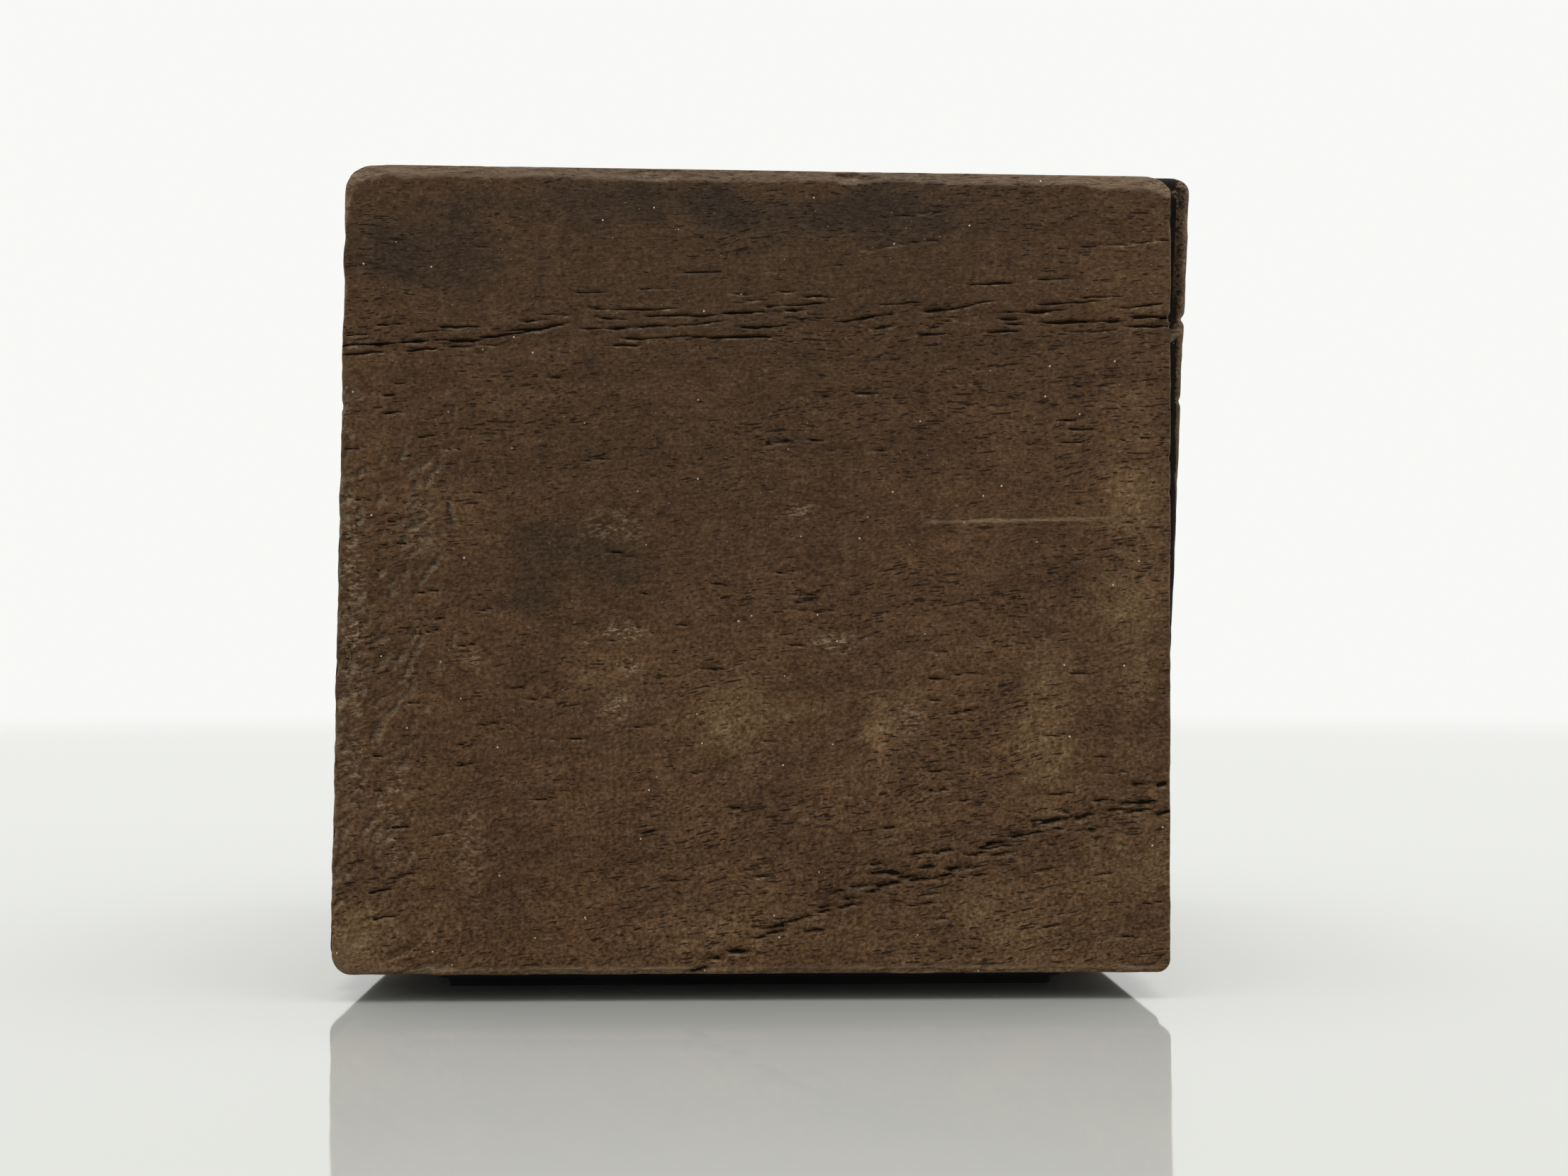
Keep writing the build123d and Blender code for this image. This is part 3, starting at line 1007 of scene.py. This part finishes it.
    def loose_vessels(self) -> tuple[Crack, ...]:
        """Scatter single open vessels along the grain, most of them left of the middle.

        Returns:
            The vessels.
        """
        rng = np.random.default_rng(41)
        vessels = []
        for _ in range(110):
            across, up = 2.5 + 54 * rng.uniform() ** 1.6, rng.uniform(3, 43)
            length = rng.uniform(0.6, 2.2)
            slope = self.finish.foot_slope - self.finish.slope_loss * up + rng.normal(0, 0.03)
            vessels.append(Crack(across, up, length, length * slope,
                                 rng.uniform(0.08, 0.14), rng.uniform(0.14, 0.26)))
        return tuple(vessels)

    def dents(self, u: np.ndarray, v: np.ndarray
              ) -> tuple[np.ndarray, np.ndarray, np.ndarray]:
        """Press slanted dents into the battered left margin, most of them at the very edge.

        Args:
            u: distances from the left side, mm.
            v: distances from the foot, mm.

        Returns:
            The depth in mm, a painted highlight on the far wall of each dent and painted shade on
            its near wall.
        """
        rng = np.random.default_rng(5)
        depth, pale, dark = (np.zeros_like(u) for _ in range(3))
        for number in range(self.edge_dents + self.margin_dents):
            if number < self.edge_dents:
                across, up = abs(rng.normal(0.3, 1.0)), rng.uniform(3, 43)
                long, wide = rng.uniform(0.25, 0.6), rng.uniform(0.14, 0.26)
            else:
                up = rng.uniform(7, 40)
                across = rng.normal(2.6 + 0.09 * up, 1.5)
                long, wide = rng.uniform(0.35, 1.0), rng.uniform(0.15, 0.28)
            turn = math.radians(rng.normal(66, 13))
            press, strength = rng.uniform(0.06, 0.2), rng.uniform(0.15, 0.95) ** 1.9
            near = (np.abs(u - across) < 1.7) & (np.abs(v - up) < 1.7)
            du, dv = u[near] - across, v[near] - up
            along = (du * math.cos(turn) + dv * math.sin(turn)) / long
            beside = (dv * math.cos(turn) - du * math.sin(turn)) / wide
            reach = np.hypot(along, beside)
            depth[near] = np.maximum(depth[near], press * smooth(1, 0.2, reach))
            # Painted highlight on the far wall, painted shade on the near wall
            pale[near] = np.maximum(pale[near], strength * smooth(1.0, 0.75, np.hypot(
                along, beside + 0.35)))
            dark[near] = np.maximum(dark[near], strength * smooth(1.0, 0.6, np.hypot(
                along, beside - 0.8)))
        waves = 0.05 * (1 + self.noise.rough(u / 5.0, v / 4.0)) * smooth(10, 1, u)
        return depth + np.maximum(waves, 0), pale, dark

    def chips(self, u: np.ndarray, v: np.ndarray) -> tuple[np.ndarray, np.ndarray]:
        """Break the chips out of the face and its edges.

        Args:
            u: distances from the left side, mm.
            v: distances from the foot, mm.

        Returns:
            The depth in mm, and how freshly broken each point is.
        """
        depth, fresh = np.zeros_like(u), np.zeros_like(u)
        for chip in FRONT_CHIPS:
            turn = math.radians(chip.turn)
            du, dv = u - chip.across, v - chip.up
            along = (du * math.cos(turn) + dv * math.sin(turn)) / chip.half_width
            beside = (dv * math.cos(turn) - du * math.sin(turn)) / chip.half_height
            reach = np.hypot(along, beside) + 0.3 * self.noise.rough(u / 0.9, v / 0.9, octaves=2)
            inside = smooth(1.1, 0.5, reach)
            depth = np.maximum(depth, chip.depth * inside)
            fresh = np.maximum(fresh, chip.fresh * inside)
        return depth, fresh


@dataclass
class BackBlock(Board):
    """The body of the mount, with end grain on its left and right sides."""

    front_round: float = 0.9         # how far back the worn front edge reaches
    front_draw: float = 0.8          # how far it draws in
    rear_arris: float = 0.9
    seam_shade_reach: float = 1.45          # painted shade reaches this far past the front board

    def build(self) -> bpy.types.Object:
        """Model the back block.

        Returns:
            The finished piece.
        """
        low, width, depth, height = self.measure()
        bm, numbers = self.shell(hidden_side=-1)
        first, last = (0, 1.2, 3.5), (1.2, 3.5)
        u = stations(self.cuts[0], width, (first, (width, *last)))[numbers[:, 0]]
        w = stations(self.cuts[1], depth, ((0, 0.9, 8.0), (depth, *last)))[numbers[:, 1]]
        v = stations(self.cuts[2], height, (
            first, (height, *last), (48.0, 1.5, 2.5), (42.0, 1.0, 2.0)))[numbers[:, 2]]
        rear = numbers[:, 1] == self.cuts[1]
        rim = self.edge_distances(u, v, width, height)
        in_x, in_z = self.inward(u, v, width, height)
        new_u, new_v = self.outline(u, v, width, height)
        draw_in, push, y = self.round_edges(u, w, v, rim, rear, depth)
        hollow, chip = self.hollows(u, w, v, np.where(rear, rim, depth - w), width)
        push = push + np.where(rear, 0, hollow + chip * np.abs(in_x))
        places = np.column_stack((low.x + new_u + in_x * push, low.y + y - rear * hollow,
                                  low.z + new_v + in_z * push))

        # Rubbed along the edges, most of all along the upper part of the front right one, whose
        # rounded edge also gets a painted highlight
        noise = self.noise
        gaps = np.sort(np.column_stack((
            np.minimum(u, width - u), np.minimum(v, height - v), depth - w)), axis=1)[:, 1]
        wear_and_highlight = smooth(1.3, 0.2, gaps) * (0.5 + 0.4 * noise.rough(u / 5, w / 5, v / 5))
        below_top = smooth(0.3, 1.2, height - v)
        # Painted highlight, on top of the wear, on the outer part of the rounded front edge,
        # strongest near the top
        outer = smooth(0.75, 0.1, draw_in) * smooth(3.0, 1.0, w) * below_top
        patchy = 0.6 + 0.5 * noise.rough(u / 0.8, w / 0.5, v / 0.7)
        splinter = np.exp(-((v - BLOCK_SPLINTER) / 0.4) ** 2) * (u > width / 2) * smooth(3, 1, w)
        wear_and_highlight = np.maximum.reduce([wear_and_highlight, outer * patchy * (0.4 + 0.6 * smooth(42, 52, v)), splinter])
        tone = 0.55 * noise.rough(u / 16, w / 16 + 80, v / 12) - 0.1

        # Painted shade on the ledge beside the front board, on the rounded front edge and along the
        # front of the top; darker towards the foot
        seam_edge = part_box("front_board")[1].x / MM - FRONT_BOARD_LEAN * (1 - v / height)
        past_seam = places[:, 0] - seam_edge - 0.1 * noise.rough(u / 0.8, v / 0.8)
        dirt_and_shade = smooth(self.seam_shade_reach + 0.25, self.seam_shade_reach - 0.1, past_seam) * (w < 1)
        dirt_and_shade = np.maximum(dirt_and_shade, 0.53 * smooth(0.05, 0.6, draw_in) * (w < 2)) * (1 - splinter)
        dirt_and_shade = np.maximum(dirt_and_shade, 0.55 * smooth(2.2, 0.8, w) * (1 - below_top))
        foot = smooth(2.5, 0.3, v) * 0.3
        return self.finish_object(bm, places * MM, {
            Trace.WEAR_AND_HIGHLIGHT: np.clip(wear_and_highlight, 0, 1), Trace.DIRT_AND_SHADE: np.clip(np.maximum(dirt_and_shade, foot), 0, 1),
            Trace.TONE: np.clip(tone, -1, 1), Trace.SCUFF_AND_HIGHLIGHT: np.clip(3 * hollow + 3 * chip, 0, 0.6)})

    def round_edges(self, u: np.ndarray, w: np.ndarray, v: np.ndarray, rim: np.ndarray,
                    rear: np.ndarray, depth: float
                    ) -> tuple[np.ndarray, np.ndarray, np.ndarray]:
        """Round the front and rear edges, square to the outline.

        Args:
            u: distances from the left side, mm.
            w: distances behind the front, mm.
            v: distances from the foot, mm.
            rim: distances to the nearest edge of the outline, mm.
            rear: which points are on the rear face.
            depth: depth of the block, mm.

        Returns:
            How far the front edge draws each point in, how far it moves inwards in all, and
            its new distance behind the front, in mm.
        """
        nick = 1 + 0.3 * self.noise.rough(u / 2.4, v / 1.6)
        front = np.clip(1 - w / (self.front_round * nick), 0, 1)
        draw_in = np.minimum(self.front_draw * nick, 0.9 * min(self.corner_radii))
        draw_in = draw_in * (1 - np.sqrt(np.maximum(1 - front ** 2, 0)))
        # The sides and the rear face each turn through half of the rear edge's quarter round
        reach = self.rear_arris * nick
        side_turn = np.clip(1 - (depth - w) / reach, 0, 1) * math.pi / 4
        rear_turn = np.clip(1 - rim / reach, 0, 1) * math.pi / 4
        on_rear = np.where(rear_turn > 0, reach * (1 - np.sin(rear_turn)) - rim, 0)
        push = np.where(rear, on_rear, draw_in + reach * (1 - np.cos(side_turn)))
        y = np.where(side_turn > 0, depth - reach * (1 - np.sin(side_turn)), w)
        return draw_in, push, np.where(rear, depth - reach * (1 - np.cos(rear_turn)), y)

    def hollows(self, u: np.ndarray, w: np.ndarray, v: np.ndarray, to_rear_edge: np.ndarray,
                width: float) -> tuple[np.ndarray, np.ndarray]:
        """Press hollows and dents into every face, and chip the front edges.

        Args:
            u: distances from the left side, mm.
            w: distances behind the front, mm.
            v: distances from the foot, mm.
            to_rear_edge: distances to the rear edge, mm.
            width: width of the block, mm.

        Returns:
            The depths of the hollows and of the chips, mm.
        """
        noise = self.noise
        hollow = 0.03 * (1 + noise.rough(u / 9, w / 7, v / 7))
        hollow += 0.14 * smooth(0.5, 0.95, noise.rough(u / 2.5, w / 2.0 + 50, v / 1.6))
        hollow = np.maximum(hollow, 0) * smooth(2, 8, w)
        hollow *= smooth(0, 2.5, to_rear_edge)
        chip = np.zeros_like(u)
        for up, tall, deep in BLOCK_CHIPS:
            chip += deep * np.exp(-((v - up) / tall) ** 2) * smooth(3, 1, w) * (u > width / 2)
        chip += 0.13 * smooth(24, 12, v) * smooth(8, 3, w) * (u < width / 2)
        return hollow, chip


# --------------------------------------------------------------------------------------
# Rubber and glue
# --------------------------------------------------------------------------------------


@dataclass
class PrintFace:
    """The rubber die and the films of glue, whose CAD shapes are already right."""

    finishes: tuple[tuple[str, PlainFinish], ...] = (
        ("rubber_die", DIE_RUBBER), ("die_cement", DRIED_CEMENT), ("seam_glue", GLUE_AND_SEAM_SHADE))

    def dress(self) -> None:
        """Give each carried-over piece its finish."""
        for node, finish in self.finishes:
            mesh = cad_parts[node].data
            mesh.materials.clear()
            mesh.materials.append(finish.build())
            log.info("%s: %s", node, finish.name)


# --------------------------------------------------------------------------------------
# Studio
# --------------------------------------------------------------------------------------


@dataclass
class Studio:
    """Pale glossy table, white surroundings, soft top light and the camera."""

    eye_from_left: float = 27.97     # mm right of the front board's left side
    eye_distance: float = 142.35     # mm in front of the front face
    eye_height: float = 23.96        # mm over the table
    turn: float = 1.677              # degrees to the right
    tilt: float = 2.16               # degrees up
    lens: float = 45.77              # mm, on a sensor 36 mm wide
    table_radius: float = 870.0      # mm
    fade_start: float = 480.0        # mm from the middle, where the table begins to fade
    fade_end: float = 820.0
    surround: float = 0.975
    key_power: float = 5.0           # W
    key_size: tuple[float, float] = (0.7, 0.5)             # m
    key_place: tuple[float, float, float] = (0.05, -0.12, 0.6)   # m
    key_tilt: float = -11.0          # degrees

    def build(self) -> None:
        """Make the table, the lights and the camera."""
        self.table()
        self.lights()
        self.camera()

    def table(self) -> None:
        """Lay the table, which fades into the white surroundings at its far edge."""
        bm = bmesh.new()
        bmesh.ops.create_circle(bm, cap_ends=True, segments=128, radius=self.table_radius * MM)
        mesh = bpy.data.meshes.new("table")
        bm.to_mesh(mesh)
        bm.free()
        table = add_object("table", mesh)
        material = blank_material("white_gloss_laminate")
        add = partial(add_node, material.node_tree)
        place = add("ShaderNodeTexCoord").outputs["Object"]
        reach = add("ShaderNodeVectorMath", (place,), operation="LENGTH").outputs["Value"]
        fade = add("ShaderNodeMapRange", (reach, self.fade_start * MM, self.fade_end * MM),
                   interpolation_type="SMOOTHSTEP")
        gloss = add("ShaderNodeBsdfPrincipled", {
            "Base Color": linear("a5a6a2"), "Roughness": 0.05, "IOR": 1.7})
        clear = add("ShaderNodeBsdfTransparent")
        mixed = add("ShaderNodeMixShader", (fade, gloss, clear))
        add("ShaderNodeOutputMaterial", {"Surface": mixed})
        mesh.materials.append(material)

    def lights(self) -> None:
        """Set the white surroundings and one broad soft light overhead."""
        world = bpy.data.worlds.new("white_surround")
        world.use_nodes = True
        background = world.node_tree.nodes["Background"]
        background.inputs["Color"].default_value = linear("fbfcf9")
        background.inputs["Strength"].default_value = self.surround
        bpy.context.scene.world = world
        light = bpy.data.lights.new("top_softbox", "AREA")
        light.shape = "RECTANGLE"
        light.size, light.size_y = self.key_size
        light.energy = self.key_power
        lamp = add_object("top_softbox", light)
        lamp.location = self.key_place
        lamp.rotation_euler = (math.radians(self.key_tilt), 0, 0)
        lamp.visible_camera = False
        bpy.context.scene.view_settings.view_transform = "Standard"

    def camera(self) -> None:
        """Place the camera low and close in front of the front board."""
        low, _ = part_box("front_board")
        data = bpy.data.cameras.new("camera")
        data.sensor_width = 36.0
        data.sensor_fit = "HORIZONTAL"
        data.lens = self.lens
        data.clip_start, data.clip_end = 0.01, 10.0
        camera = add_object("camera", data)
        camera.location = (low.x + self.eye_from_left * MM, low.y - self.eye_distance * MM,
                           self.eye_height * MM)
        camera.rotation_euler = (math.radians(90 + self.tilt), 0, math.radians(-self.turn))
        bpy.context.scene.camera = camera


def main() -> None:
    """Build the stamp and its studio, logging each piece as it is made."""
    Studio().build()
    FrontBoard(
        node="front_board", slot="front_wood", finish=AgedHardwood("aged_hardwood_front"),
        cuts=(168, 5, 500), lean=(0.65, FRONT_BOARD_LEAN), top_fall=TOP_FALL,
        corner_radii=(1.4, 1.0, 0.7, 2.0)).build()
    BackBlock(
        node="back_block", slot="block_wood",
        finish=AgedHardwood("aged_hardwood_block", foot_slope=0.02, slope_loss=0.0,
                            ring_depth=0.24, seed=37.0),
        cuts=(146, 122, 140), lean=(1.05, 2.8), top_fall=TOP_FALL,
        corner_radii=(1.4, 1.0, 1.4, 2.0)).build()
    PrintFace().dress()


if __name__ == "__main__":
    main()
